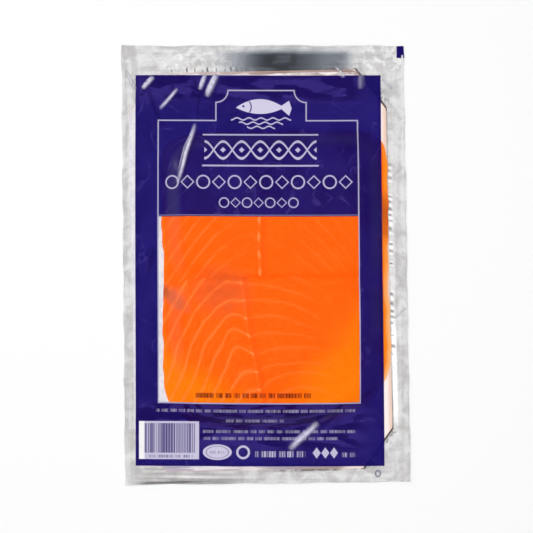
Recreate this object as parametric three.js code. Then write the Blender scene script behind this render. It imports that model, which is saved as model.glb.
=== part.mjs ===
// A flat vacuum pack of sliced smoked salmon, lying on its back with the printed side up.
//
// Two webs of film, a silver one below and a clear printed one above, are sealed face to face round
// the rim. Between them lie a carton board with clipped corners and three overlapping slices of fish,
// and the vacuum has pulled the upper web down over them.
//
// Millimetres, +Z up, +Y towards the top of the label. The origin is the middle of the underside.

import * as THREE from "three";

// Pouch: both webs have this outline, which the cutter has left a little out of square.
const POUCH_WIDTH = 145;
const POUCH_LENGTH = 220;
const TOP_RIGHT_LEAN = 3.5; // the right edge comes in by this much at the top
const BOTTOM_LEFT_LEAN = 1.75; // the left edge comes in by this much at the bottom
const BOTTOM_RIGHT_RISE = 1.75; // the bottom edge climbs by this much to the right
const WEB = 0.3; // thickness of each web

// Rim: the webs are sealed outside the panel that the board lies in. There they leave the table and
// curl in slow waves.
const PANEL_CLEARANCE = 2.6; // between the board and the seal
const RIM_RISE = 1.1; // middle height of the edge of a rim RIM_REACH wide
const RIM_REACH = 9;
const RIM_CURL = 1.5; // exponent of the rise: above 1 the rim steepens outwards
const RIM_WAVE = 0.6; // share of the rise that comes and goes along each edge
const WAVE_ACROSS = { length: 107, start: 17 }; // along the top and bottom edges
const WAVE_ALONG = { length: 132, start: 8 }; // along the left and right edges

// Board under the fish, which lies a little turned in the pouch, as the fish on it does.
const BOARD = { x: -2.75, y: -2.6, width: 128.5, length: 199.2, thickness: 0.6, clipX: 15, clipY: 20, turn: 1.2 };

// Slices, from the lowest to the topmost: centre, half sizes and turn. Each is a rectangle with well
// rounded corners that thins out towards its rim. The squareness of a corner is the exponent of its
// outline, where 2 is an ellipse: each slice has its own for its right foot.
const SLICES = [
  { x: 5, y: -4.5, halfWidth: 56, halfLength: 70, turn: 0.8, rightFoot: 2.3 },
  { x: 4.4, y: 27.5, halfWidth: 56.6, halfLength: 39.5, turn: 0.7, rightFoot: 5.5 },
  { x: 5.6, y: -43.5, halfWidth: 56.9, halfLength: 38, turn: 1, rightFoot: 2.3 },
];
const SLICE_THICKNESS = 3.5;
const SLICE_RIM = 0.8; // thickness left at a slice's own rim
const HEAD_SQUARENESS = 7; // of both corners above a slice's centre
const LEFT_FOOT_SQUARENESS = 3.7;
const SLICE_TAPER = 0.3; // share of the half size over which a slice thins
const SLICE_SAG = 5; // a slice bridges the step of the one below it over this distance

// Clearances between neighbours that only touch.
const FLAT_GAP = 0.05;
const DRAPED_GAP = 0.18;

// Film grid: close lines in the rim and near the panel's edges, where the film bends, and wide ones
// in the middle.
const GRID_BAND = 21;
const GRID_FINE = 3;
const GRID_COARSE = 6;
const FILM_SAG = 4.5; // the film bridges the steps of what it lies on over this distance
const LOWER_WEB_STRIDE = 3;
const SLICE_CELLS = 18;
const LOOKS_ROUND = 8; // directions in which a height is looked up round a point
const VACUUM_RADIUS = 14; // the upper web hangs between its supports in curves of this radius
const RELAX_PASSES = 400;

const BOARD_TOP = WEB + FLAT_GAP + BOARD.thickness;
const { lerp, smoothstep, degToRad } = THREE.MathUtils;

// ---------------------------------------------------------------------------- closed solids

// Joins a grid of points, each with a low and a high surface over its x and y, into one closed solid.
function slab(grid) {
  const rows = grid.length;
  const columns = grid[0].length;
  const positions = [];
  for (const side of ["low", "high"]) {
    for (const row of grid) {
      for (const point of row) positions.push(point.x, point.y, point[side]);
    }
  }
  const low = (i, j) => i * columns + j;
  const high = (i, j) => rows * columns + low(i, j);
  const index = [];
  const quad = (a, b, c, d) => index.push(a, b, c, a, c, d);
  for (let i = 0; i + 1 < rows; i++) {
    for (let j = 0; j + 1 < columns; j++) {
      quad(high(i, j), high(i, j + 1), high(i + 1, j + 1), high(i + 1, j));
      quad(low(i, j), low(i + 1, j), low(i + 1, j + 1), low(i, j + 1));
    }
  }
  for (let j = 0; j + 1 < columns; j++) {
    quad(low(0, j), low(0, j + 1), high(0, j + 1), high(0, j));
    quad(low(rows - 1, j + 1), low(rows - 1, j), high(rows - 1, j), high(rows - 1, j + 1));
  }
  for (let i = 0; i + 1 < rows; i++) {
    quad(low(i + 1, 0), low(i, 0), high(i, 0), high(i + 1, 0));
    quad(low(i, columns - 1), low(i + 1, columns - 1), high(i + 1, columns - 1), high(i, columns - 1));
  }
  const geometry = new THREE.BufferGeometry();
  geometry.setAttribute("position", new THREE.Float32BufferAttribute(positions, 3));
  geometry.setIndex(index);
  geometry.computeVertexNormals();
  return geometry;
}

// Even steps of about `step` from one position up to, but not including, another.
function steps(from, to, step) {
  const count = Math.max(1, Math.round((to - from) / step));
  return Array.from({ length: count }, (_, i) => lerp(from, to, i / count));
}

// Positions of the grid lines along one axis of the pouch.
function gridLines(edge, panelLow, panelHigh) {
  return [
    ...steps(-edge, panelLow, GRID_FINE),
    ...steps(panelLow, panelLow + GRID_BAND, GRID_FINE),
    ...steps(panelLow + GRID_BAND, panelHigh - GRID_BAND, GRID_COARSE),
    ...steps(panelHigh - GRID_BAND, panelHigh, GRID_FINE),
    ...steps(panelHigh, edge, GRID_FINE),
    edge,
  ];
}

// ---------------------------------------------------------------------------- pouch outline

const EDGE = { x: POUCH_WIDTH / 2, y: POUCH_LENGTH / 2 };
const PANEL = {
  left: BOARD.x - BOARD.width / 2 - PANEL_CLEARANCE,
  right: BOARD.x + BOARD.width / 2 + PANEL_CLEARANCE,
  bottom: BOARD.y - BOARD.length / 2 - PANEL_CLEARANCE,
  top: BOARD.y + BOARD.length / 2 + PANEL_CLEARANCE,
};
const acrossLines = gridLines(EDGE.x, PANEL.left, PANEL.right);
const alongLines = gridLines(EDGE.y, PANEL.bottom, PANEL.top);

// Where a crossing of the grid lies once the rim is drawn in to the pouch's own outline.
function pouchPoint(x, y) {
  const up = (y + EDGE.y) / POUCH_LENGTH;
  const right = (x + EDGE.x) / POUCH_WIDTH;
  const inLeftRim = Math.max(0, (PANEL.left - x) / (PANEL.left + EDGE.x));
  const inRightRim = Math.max(0, (x - PANEL.right) / (EDGE.x - PANEL.right));
  const inBottomRim = Math.max(0, (PANEL.bottom - y) / (PANEL.bottom + EDGE.y));
  return {
    x: x + inLeftRim * BOTTOM_LEFT_LEAN * (1 - up) - inRightRim * TOP_RIGHT_LEAN * up,
    y: y + inBottomRim * BOTTOM_RIGHT_RISE * right,
  };
}

// How far a point lies outside the panel, 0 within it.
function outsidePanel(x, y) {
  const dx = Math.max(0, PANEL.left - x, x - PANEL.right);
  const dy = Math.max(0, PANEL.bottom - y, y - PANEL.top);
  return Math.hypot(dx, dy);
}

// Share of the rim's rise at a position along an edge.
function rimWave(wave, position) {
  return 1 + RIM_WAVE * Math.sin((2 * Math.PI * (position + wave.start)) / wave.length);
}

// Height of the lower web's underside: flat under the panel, curling up towards the rim.
function rimHeight(x, y) {
  const curl = Math.pow(outsidePanel(x, y) / RIM_REACH, RIM_CURL);
  return RIM_RISE * curl * rimWave(WAVE_ACROSS, x) * rimWave(WAVE_ALONG, y);
}

// ---------------------------------------------------------------------------- fish

// Length of a vector in a space whose unit circle is the outline of a slice.
function squaredLength(slice, u, v) {
  const footSquareness = u > 0 ? slice.rightFoot : LEFT_FOOT_SQUARENESS;
  const squareness = v > 0 ? HEAD_SQUARENESS : footSquareness;
  return Math.pow(Math.pow(Math.abs(u), squareness) + Math.pow(Math.abs(v), squareness), 1 / squareness);
}

// How far out a point lies in a slice: 0 at its centre, 1 on its outline.
function sliceLevel(slice, x, y) {
  const turn = degToRad(slice.turn);
  const dx = x - slice.x;
  const dy = y - slice.y;
  const u = (dx * Math.cos(turn) + dy * Math.sin(turn)) / slice.halfWidth;
  const v = (dy * Math.cos(turn) - dx * Math.sin(turn)) / slice.halfLength;
  return squaredLength(slice, u, v);
}

function sliceThickness(level) {
  const full = smoothstep(1 - level, 0, SLICE_TAPER);
  return lerp(SLICE_RIM, SLICE_THICKNESS, full);
}

// Top of the board and of the first `count` slices at a point, or -Infinity beside them.
function stackTop(count, x, y) {
  if (count === 0) return onBoard(x, y) ? BOARD_TOP : -Infinity;
  const slice = SLICES[count - 1];
  const level = sliceLevel(slice, x, y);
  if (level > 1) return stackTop(count - 1, x, y);
  return sliceUnderside(count - 1, x, y) + sliceThickness(level);
}

// Highest stack top at and close round a point, so that what lies on it clears its steps.
function stackTopNear(count, x, y, reach) {
  let top = stackTop(count, x, y);
  for (let k = 0; k < LOOKS_ROUND; k++) {
    const angle = (2 * Math.PI * k) / LOOKS_ROUND;
    top = Math.max(top, stackTop(count, x + reach * Math.cos(angle), y + reach * Math.sin(angle)));
  }
  return top;
}

function sliceUnderside(order, x, y) {
  if (order === 0) return BOARD_TOP + FLAT_GAP;
  return Math.max(stackTopNear(order, x, y, SLICE_SAG), BOARD_TOP) + DRAPED_GAP;
}

// A slice's grid runs from its centre out to its outline in squared rings.
function sliceGrid(order) {
  const slice = SLICES[order];
  const turn = degToRad(slice.turn);
  const grid = [];
  for (let i = 0; i <= SLICE_CELLS; i++) {
    const row = [];
    for (let j = 0; j <= SLICE_CELLS; j++) {
      const s = (2 * j) / SLICE_CELLS - 1;
      const t = (2 * i) / SLICE_CELLS - 1;
      const level = Math.max(Math.abs(s), Math.abs(t));
      const drawnIn = level === 0 ? 0 : level / squaredLength(slice, s, t);
      const u = s * drawnIn * slice.halfWidth;
      const v = t * drawnIn * slice.halfLength;
      const x = slice.x + u * Math.cos(turn) - v * Math.sin(turn);
      const y = slice.y + v * Math.cos(turn) + u * Math.sin(turn);
      const low = sliceUnderside(order, x, y);
      row.push({ x, y, low, high: low + sliceThickness(level) });
    }
    grid.push(row);
  }
  return grid;
}

// ---------------------------------------------------------------------------- board

function onBoard(x, y) {
  const turn = degToRad(BOARD.turn);
  const dx = x - BOARD.x;
  const dy = y - BOARD.y;
  const u = BOARD.width / 2 - Math.abs(dx * Math.cos(turn) + dy * Math.sin(turn));
  const v = BOARD.length / 2 - Math.abs(dy * Math.cos(turn) - dx * Math.sin(turn));
  return u >= 0 && v >= 0 && u / BOARD.clipX + v / BOARD.clipY >= 1;
}

// The board's outline about its own centre, with all four corners clipped.
function boardShape() {
  const x = BOARD.width / 2;
  const y = BOARD.length / 2;
  const shape = new THREE.Shape();
  shape.moveTo(x, y - BOARD.clipY);
  shape.lineTo(x - BOARD.clipX, y);
  shape.lineTo(-x + BOARD.clipX, y);
  shape.lineTo(-x, y - BOARD.clipY);
  shape.lineTo(-x, -y + BOARD.clipY);
  shape.lineTo(-x + BOARD.clipX, -y);
  shape.lineTo(x - BOARD.clipX, -y);
  shape.lineTo(x, -y + BOARD.clipY);
  shape.closePath();
  return shape;
}

// ---------------------------------------------------------------------------- film

// The lower web is flat but for its rim, so its grid needs few lines across the panel.
function lowerWebGrid() {
  const sparse = (lines, low, high) =>
    lines.filter((line, i) => line <= low || line >= high || i % LOWER_WEB_STRIDE === 0);
  const across = sparse(acrossLines, PANEL.left, PANEL.right);
  const along = sparse(alongLines, PANEL.bottom, PANEL.top);
  return along.map((lineY) =>
    across.map((lineX) => {
      const { x, y } = pouchPoint(lineX, lineY);
      const low = rimHeight(x, y);
      return { x, y, low, high: low + WEB };
    }),
  );
}

// The upper web's underside is a stretched skin: sealed to the lower web round the rim, held up by
// what is packed, and pulled down between by the vacuum.
function upperWebGrid() {
  const grid = alongLines.map((lineY) =>
    acrossLines.map((lineX) => {
      const { x, y } = pouchPoint(lineX, lineY);
      const sealed = rimHeight(x, y) + WEB + DRAPED_GAP;
      const packed = stackTopNear(SLICES.length, x, y, FILM_SAG) + DRAPED_GAP;
      const support = Math.max(sealed, packed);
      return { x, y, support, low: support, free: outsidePanel(x, y) === 0 };
    }),
  );
  const pull = (before, here, after) => ({
    before: 2 / ((here - before) * (after - before)),
    after: 2 / ((after - here) * (after - before)),
  });
  for (let pass = 0; pass < RELAX_PASSES; pass++) {
    for (let i = 1; i + 1 < grid.length; i++) {
      const v = pull(alongLines[i - 1], alongLines[i], alongLines[i + 1]);
      for (let j = 1; j + 1 < grid[i].length; j++) {
        const point = grid[i][j];
        if (!point.free) continue;
        const u = pull(acrossLines[j - 1], acrossLines[j], acrossLines[j + 1]);
        const sum =
          u.before * grid[i][j - 1].low +
          u.after * grid[i][j + 1].low +
          v.before * grid[i - 1][j].low +
          v.after * grid[i + 1][j].low;
        const taut = (sum - 1 / VACUUM_RADIUS) / (u.before + u.after + v.before + v.after);
        point.low = Math.max(point.support, taut);
      }
    }
  }
  for (const row of grid) {
    for (const point of row) point.high = point.low + WEB;
  }
  return grid;
}

// ---------------------------------------------------------------------------- scene

const silver = new THREE.MeshStandardMaterial({ color: 0xc9c8c8, roughness: 0.35, metalness: 0.85 });
const carton = new THREE.MeshStandardMaterial({ color: 0xece6e0, roughness: 0.5, metalness: 0 });
const fish = new THREE.MeshStandardMaterial({ color: 0xfb6414, roughness: 0.35, metalness: 0 });
const printedFilm = new THREE.MeshStandardMaterial({
  color: 0x281c74,
  roughness: 0.15,
  metalness: 0,
  transparent: true,
  opacity: 0.5,
});

// A mesh whose geometry, drawn in the pack's own frame, is hung at a point of that frame.
function placed(name, geometry, material, x, y, z) {
  geometry.translate(-x, -y, -z);
  const mesh = new THREE.Mesh(geometry, material);
  mesh.name = name;
  mesh.position.set(x, y, z);
  return mesh;
}

const pack = new THREE.Group();
pack.add(placed("lower_web", slab(lowerWebGrid()), silver, 0, 0, 0));

const contents = new THREE.Group();
const board = new THREE.Mesh(
  new THREE.ExtrudeGeometry(boardShape(), { depth: BOARD.thickness, bevelEnabled: false }),
  carton,
);
board.name = "board";
board.position.set(BOARD.x, BOARD.y, WEB + FLAT_GAP);
board.rotation.z = degToRad(BOARD.turn);
contents.add(board);
SLICES.forEach((slice, order) => {
  contents.add(placed(`salmon_slice_${order + 1}`, slab(sliceGrid(order)), fish, slice.x, slice.y, BOARD_TOP));
});
pack.add(contents);

pack.add(placed("upper_web", slab(upperWebGrid()), printedFilm, 0, 0, WEB));

export default pack;
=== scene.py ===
import math

import bpy
import numpy as np
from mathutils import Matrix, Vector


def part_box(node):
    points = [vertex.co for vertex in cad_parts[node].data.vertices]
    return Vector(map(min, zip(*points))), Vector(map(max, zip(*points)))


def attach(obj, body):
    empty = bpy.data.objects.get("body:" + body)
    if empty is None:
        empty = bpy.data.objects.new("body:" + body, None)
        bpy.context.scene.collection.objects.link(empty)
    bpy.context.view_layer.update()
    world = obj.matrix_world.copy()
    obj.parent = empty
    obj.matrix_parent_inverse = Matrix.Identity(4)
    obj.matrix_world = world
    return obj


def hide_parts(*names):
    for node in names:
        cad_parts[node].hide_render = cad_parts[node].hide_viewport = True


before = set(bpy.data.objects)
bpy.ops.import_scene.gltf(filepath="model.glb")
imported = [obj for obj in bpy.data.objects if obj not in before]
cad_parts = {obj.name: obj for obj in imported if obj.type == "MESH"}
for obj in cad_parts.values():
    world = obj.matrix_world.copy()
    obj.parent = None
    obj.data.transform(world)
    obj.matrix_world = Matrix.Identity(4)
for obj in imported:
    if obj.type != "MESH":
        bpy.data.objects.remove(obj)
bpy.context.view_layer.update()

# ------------------------------------------------------------------------------------------ studio
# The pack lies on a pale table under a camera that looks straight down on it. Soft lamps overhead
# and at the side light it, and a low one at the upper left only makes steep creases shine.

MM = 0.001  # sizes in this script are millimetres

VIEW_CENTRE = (0.25, -0.5)
VIEW_WIDTH = 266.5  # of the table
LENS = 110
SENSOR = 36
camera_data = bpy.data.cameras.new("camera")
camera_data.lens = LENS
camera_data.sensor_width = SENSOR
camera = bpy.data.objects.new("camera", camera_data)
camera.location = (VIEW_CENTRE[0] * MM, VIEW_CENTRE[1] * MM, VIEW_WIDTH * MM * LENS / SENSOR)
bpy.context.scene.collection.objects.link(camera)
bpy.context.scene.camera = camera
bpy.context.scene.view_settings.view_transform = "Standard"


def softbox(name, azimuth, elevation, distance, width, height, power):
    """A soft lamp that faces the pack from that many degrees round from its right and up from the
    table. Distance and sizes are in metres."""
    azimuth, elevation = math.radians(azimuth), math.radians(elevation)
    data = bpy.data.lights.new(name, "AREA")
    data.shape = "RECTANGLE"
    data.size = width
    data.size_y = height
    data.energy = power
    lamp = bpy.data.objects.new(name, data)
    flat = distance * math.cos(elevation)
    lamp.location = (flat * math.cos(azimuth), flat * math.sin(azimuth), distance * math.sin(elevation))
    lamp.rotation_euler = (math.pi / 2 - elevation, 0, azimuth + math.pi / 2)
    bpy.context.scene.collection.objects.link(lamp)
    return lamp


overhead = softbox("overhead_lamp", 90, 90, 1.5, 1.3, 1.3, 31.5)
side_lamp = softbox("side_lamp", 145, 42, 1.2, 0.7, 0.7, 2.6)
for lamp in (overhead, side_lamp):
    lamp.visible_glossy = False  # screens keep these out of the film's reflections
glint = softbox("glint_lamp", 140, 14, 1.0, 0.7, 0.34, 6)
glint.visible_diffuse = False


class Socket:
    """An output of a shader node. Arithmetic on it adds Math nodes to the same material."""

    def __init__(self, output):
        self.output = output

    def node(self, kind, settings, inputs, output=0):
        """Adds a node: first its settings, then the values or links of its inputs."""
        tree = self.output.id_data
        node = tree.nodes.new(kind)
        for key, value in settings.items():
            setattr(node, key, value)
        for key, value in inputs.items():
            if isinstance(value, Socket):
                tree.links.new(value.output, node.inputs[key])
            else:
                node.inputs[key].default_value = value
        return Socket(node.outputs[output])

    def math(self, operation, *others):
        return self.node("ShaderNodeMath", {"operation": operation}, dict(enumerate((self, *others))))

    def __add__(self, other):
        return self.math("ADD", other)

    __radd__ = __add__

    def __sub__(self, other):
        return self.math("SUBTRACT", other)

    def __rsub__(self, other):
        return (self * -1) + other

    def __mul__(self, other):
        return self.math("MULTIPLY", other)

    __rmul__ = __mul__

    def __truediv__(self, other):
        return self.math("DIVIDE", other)

    def __mod__(self, other):
        return self.math("FLOORED_MODULO", other)

    def __abs__(self):
        return self.math("ABSOLUTE")

    def most(self, other):
        return self.math("MAXIMUM", other)

    def least(self, other):
        return self.math("MINIMUM", other)

    def ramp(self, start, end):
        """0 before start, 1 after end and smooth between."""
        inputs = {"Value": self, "From Min": start, "From Max": end}
        return self.node("ShaderNodeMapRange", {"interpolation_type": "SMOOTHSTEP"}, inputs)

    def plateau(self, start, full, fading, end):
        """1 from full to fading and 0 outside start and end, smooth between."""
        return self.ramp(start, full) * self.ramp(end, fading)

    def noise(self, scale, detail=2.0, roughness=0.5, distortion=0.0):
        inputs = {"Vector": self, "Scale": scale, "Detail": detail}
        inputs.update({"Roughness": roughness, "Distortion": distortion})
        return self.node("ShaderNodeTexNoise", {}, inputs)

    def stretched(self, across, along, detail=3.0):
        """Noise with a pitch of its own in each direction."""
        factors = {0: self, 1: (across, along, 1)}
        scaled = self.node("ShaderNodeVectorMath", {"operation": "MULTIPLY"}, factors)
        return scaled.noise(1.0, detail, 0.55)

    def white(self):
        """A value drawn anew for every whole number."""
        return self.node("ShaderNodeTexWhiteNoise", {"noise_dimensions": "1D"}, {"W": self.math("FLOOR")})

    def tint(self, before, after):
        """A colour between two, with this value as the factor."""
        return self.node("ShaderNodeMix", {"data_type": "RGBA"}, {0: self, 6: before, 7: after}, 2)

    def between(self, before, after):
        """A shader between two, with this value as the factor."""
        return self.node("ShaderNodeMixShader", {}, {0: self, 1: before, 2: after})


LIGHT = 1.35  # what the lamps and the room give a flat white surface, where 1 shows as white


def colour(red, green, blue):
    """Pigment that shows as this screen colour, each part from 0 to 255, in the studio's light."""
    shares = [part / 255 for part in (red, green, blue)]
    light = [share / 12.92 if share < 0.04045 else ((share + 0.055) / 1.055) ** 2.4 for share in shares]
    return (*(part / LIGHT for part in light), 1)


def new_material(name):
    """An empty material, with the piece's own coordinates in millimetres as a socket."""
    material = bpy.data.materials.new(name)
    material.use_nodes = True
    material.node_tree.nodes.clear()
    own = Socket(material.node_tree.nodes.new("ShaderNodeTexCoord").outputs["Object"])
    place = own.node("ShaderNodeVectorMath", {"operation": "SCALE"}, {0: own, "Scale": 1 / MM})
    return material, place


def parts(place):
    """The x, y and z of a place."""
    return [place.node("ShaderNodeSeparateXYZ", {}, {0: place}, axis) for axis in range(3)]


def cover(material, shader):
    """Makes the shader the surface of the material."""
    output = material.node_tree.nodes.new("ShaderNodeOutputMaterial")
    material.node_tree.links.new(shader.output, output.inputs["Surface"])


TABLE_GAP = 0.05  # between the table and the pack's back
TABLE_REACH = 1500
table_mesh = bpy.data.meshes.new("table")
reach = TABLE_REACH * MM
around = ((-reach, -reach), (reach, -reach), (reach, reach), (-reach, reach))
corners = [(x, y, -TABLE_GAP * MM) for x, y in around]
table_mesh.from_pydata(corners, [], [(0, 1, 2, 3)])
table = bpy.data.objects.new("table", table_mesh)
bpy.context.scene.collection.objects.link(table)
table_material, place = new_material("pale_table")
table_colour = place.noise(0.004).tint(colour(255, 255, 255), colour(254, 254, 254))
surface = {"Base Color": table_colour, "Roughness": 0.8, "Specular IOR Level": 0.1}
cover(table_material, place.node("ShaderNodeBsdfPrincipled", {}, surface))
table_mesh.materials.append(table_material)

# The room: a dark ceiling, and walls that are lighter on the left and at the foot.
CEILING = 0.05
WALLS = 0.4
world = bpy.data.worlds.new("room")
world.use_nodes = True
world.node_tree.nodes.clear()
direction = Socket(world.node_tree.nodes.new("ShaderNodeTexCoord").outputs["Generated"])
right, back, up = parts(direction)
lit_side = (right * -0.8 + back * -0.6).ramp(-0.5, 0.4) * 0.7 + 0.3
room = up.ramp(0.7, 0.25) * lit_side * (WALLS - CEILING) + CEILING
backdrop = room.node("ShaderNodeBackground", {}, {"Color": (1, 1, 1, 1), "Strength": room})
world_output = world.node_tree.nodes.new("ShaderNodeOutputWorld")
world.node_tree.links.new(backdrop.output, world_output.inputs["Surface"])
bpy.context.scene.world = world

# --------------------------------------------------------------------------------------- lower web
# The back of the pouch is one sheet of plastic film, metallised silver. It lies flat under the
# board and is heat sealed to the upper web round the rim, where both are finely crinkled and curl.


def millimetres(node):
    """Lowest and highest corner of a node of the frame."""
    return [np.array(corner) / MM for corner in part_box(node)]


pouch_low, pouch_high = millimetres("lower_web")
board_low, board_high = millimetres("board")

TOP_RIGHT_LEAN = 3.5  # the right edge comes in by this much at the top
BOTTOM_LEFT_LEAN = 1.75  # the left edge comes in by this much at the bottom
BOTTOM_RIGHT_RISE = 1.75  # the bottom edge climbs by this much to the right
CUT_WANDER = 0.18  # how far the cutter leaves its line

BOARD_TURN = math.radians(1.2)  # the board lies a little turned in the pouch
BOARD_CLIP = np.array((15, 20))  # of each of its corners, across and along
board_centre = (board_low + board_high)[:2] / 2
board_reach = (board_high - board_low)[:2] / 2
board_half = board_reach - math.sin(BOARD_TURN) * (board_reach - BOARD_CLIP)[::-1]

PANEL_CLEARANCE = 2.6  # between the board and the seal
panel_low = board_centre - board_half - PANEL_CLEARANCE
panel_high = board_centre + board_half + PANEL_CLEARANCE

RIM_RISE = 1.1  # middle height of the edge of a rim RIM_REACH wide
RIM_REACH = 9
RIM_CURL = 1.5  # exponent of the rise: above 1 the rim steepens outwards
RIM_WAVE = 0.6  # share of the rise that comes and goes along each edge
WAVE_ACROSS = {"length": 107, "start": 17}  # along the top and bottom edges
WAVE_ALONG = {"length": 132, "start": 8}  # along the left and right edges
PLEAT_RISE = 0.4  # of the lower web, as a share of the upper web's
SEAL_BAR = 2.6  # from the bottom edge to the ridge that the bar of the sealing tool left
SEAL_BAR_HALF = 0.55
SEAL_BAR_RISE = 0.25

WEB = 0.1  # thickness of the film
PANEL_WEB = 0.3  # top of the lower web under the board
SEAL = 0.03  # between the webs in the seal


def smooth(value, start, end):
    """0 before start, 1 after end and smooth between."""
    t = np.clip((value - start) / (end - start), 0, 1)
    return t * t * (3 - 2 * t)


def plateau(value, start, full, fading, end):
    """1 from full to fading and 0 outside start and end, smooth between."""
    return smooth(value, start, full) * smooth(-value, -end, -fading)


def outside_panel(x, y):
    """Distance from the panel round the board, 0 on it."""
    across = np.maximum(0, np.maximum(panel_low[0] - x, x - panel_high[0]))
    along = np.maximum(0, np.maximum(panel_low[1] - y, y - panel_high[1]))
    return np.hypot(across, along)


def on_pouch(x, y):
    """Where a crossing of the grid lies once the rim is drawn in to the pouch's own outline."""
    up = (y - pouch_low[1]) / (pouch_high[1] - pouch_low[1])
    right = (x - pouch_low[0]) / (pouch_high[0] - pouch_low[0])
    left_rim = np.maximum(0, (panel_low[0] - x) / (panel_low[0] - pouch_low[0]))
    right_rim = np.maximum(0, (x - panel_high[0]) / (pouch_high[0] - panel_high[0]))
    bottom_rim = np.maximum(0, (panel_low[1] - y) / (panel_low[1] - pouch_low[1]))
    top_rim = np.maximum(0, (y - panel_high[1]) / (pouch_high[1] - panel_high[1]))
    side_cut = CUT_WANDER * (np.sin(y / 5.1) + 0.7 * np.sin(y / 2.3 + 1) - 1.7)
    end_cut = CUT_WANDER * (np.sin(x / 6.3) + 0.7 * np.sin(x / 2.9 + 2) - 1.7)
    across = left_rim * (BOTTOM_LEFT_LEAN * (1 - up) - side_cut)
    across -= right_rim * (TOP_RIGHT_LEAN * up - side_cut)
    along = bottom_rim * (BOTTOM_RIGHT_RISE * right - end_cut) + top_rim * end_cut
    return x + across, y + along


def from_board(x, y):
    """Distance from the board's straight sides across and along, and from its clipped corners,
    negative on the board."""
    cos, sin = math.cos(BOARD_TURN), math.sin(BOARD_TURN)
    across = abs((x - board_centre[0]) * cos + (y - board_centre[1]) * sin) - board_half[0]
    along = abs((y - board_centre[1]) * cos - (x - board_centre[0]) * sin) - board_half[1]
    clip = across * (1 / BOARD_CLIP[0]) + along * (1 / BOARD_CLIP[1]) + 1
    return across, along, clip * (1 / math.hypot(*(1 / BOARD_CLIP)))


def folds(x, y, length, seed, count=7):
    """Foil that was crumpled and pulled out again: flat facets between straight folds, -1 to 1."""
    draws = np.random.default_rng(seed)
    total = np.zeros_like(x)
    for _ in range(count):
        angle, start, stretch, bend = draws.uniform((0, 0, 0.7, 0.1), (math.pi, 1, 1.7, 0.4))
        across = (x * math.cos(angle) + y * math.sin(angle)) / (length * stretch)
        along = (y * math.cos(angle) - x * math.sin(angle)) / (length * stretch)
        total += np.abs((across + start + bend * np.sin(along + start)) % 1 - 0.5) * 4 - 1
    return total / math.sqrt(count)


# The seal has a pocket above the board's top edge, where the webs are not joined.
POCKET = (-28, 97, 48, 108.5)  # left, bottom, right, top
POCKET_EDGE = 3


def in_pocket(x, y):
    """1 in the pocket, where the foil stays smooth."""
    left, bottom, right, top = POCKET
    soft = POCKET_EDGE
    across = plateau(x, left - 3 * soft, left + soft, right - soft, right + soft)
    return across * plateau(y, bottom - soft, bottom, top - 1, top + 0.6)


def saw(value):
    """Ridges, 1 at each whole number and 0 between, with a blunt crest."""
    return (1 - 2 * np.abs((value + 0.5) % 1 - 0.5)) ** 1.6


def pleats(x, y):
    """Short pleats between the board's edge and the seal, where the vacuum gathered the webs."""
    side = saw(y / 3.7 + 0.35 * np.sin(y / 9) + 0.1 * np.sin(y / 2.3) + 0.1 * x)
    head = saw(x / 3.1 + 0.5 * np.sin(x / 7) + 0.25 * np.sin(x / 1.9) - 0.06 * y)
    gathered = smooth(np.sin(y / 17 + 0.6) + 0.5 * np.sin(y / 7.1), -0.9, 0.2)
    right = plateau(x, 60.8, 62.2, 64.5, 67.5) * gathered * smooth(-np.abs(y - 4), -78, -46)
    left = plateau(-x, 66.5, 68, 69, 71) * smooth(-np.abs(y), -98, -60) * 0.4
    top = plateau(y, 96.3, 97.4, 99.6, 102.5) * plateau(x, -60, -50, -8, 2)
    bottom = plateau(-y, 101.2, 102.4, 104, 106.5) * smooth(-np.abs(x + 5), -62, -48) * 0.45
    return 0.62 * (right + left) * side + 0.5 * (top + bottom) * head


def rim_wave(value, length, start):
    """Factor by which the rim rises more and less along one edge."""
    return 1 + RIM_WAVE * np.sin(2 * math.pi * (value + start) / length)


def rim_height(x, y):
    """Underside of the lower web: flat under the board, curling up and crinkled in the rim."""
    outside = outside_panel(x, y)
    wave = rim_wave(x, **WAVE_ACROSS) * rim_wave(y, **WAVE_ALONG)
    curl = RIM_RISE * wave * (outside / RIM_REACH) ** RIM_CURL
    rough = smooth(outside, 0, 3) * (1 - 0.9 * in_pocket(x, y))
    crinkle = 0.09 * folds(x, y, length=11, seed=3) + 0.05 * folds(x, y, length=3.4, seed=4)
    bar = SEAL_BAR_RISE * np.exp(-(((y - pouch_low[1] - SEAL_BAR) / SEAL_BAR_HALF) ** 2))
    return np.maximum(0, curl + rough * (0.2 + crinkle) + bar + PLEAT_RISE * pleats(x, y))


def spread(low, high, bands, coarse):
    """Grid lines from low to high, with a spacing of their own in each band and coarse elsewhere."""
    place = np.linspace(low, high, 4000)
    spacing = np.full_like(place, coarse)
    for start, end, fine in bands:
        inside = plateau(place, start - 3, start, end, end + 3)
        spacing = np.minimum(spacing, coarse + (fine - coarse) * inside)
    count = np.cumsum(1 / spacing) * (place[1] - place[0])
    return np.interp(np.linspace(count[0], count[-1], round(count[-1])), count, place)


SHARP_ANGLE = 70  # degrees between faces from which their edge is sharp


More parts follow.
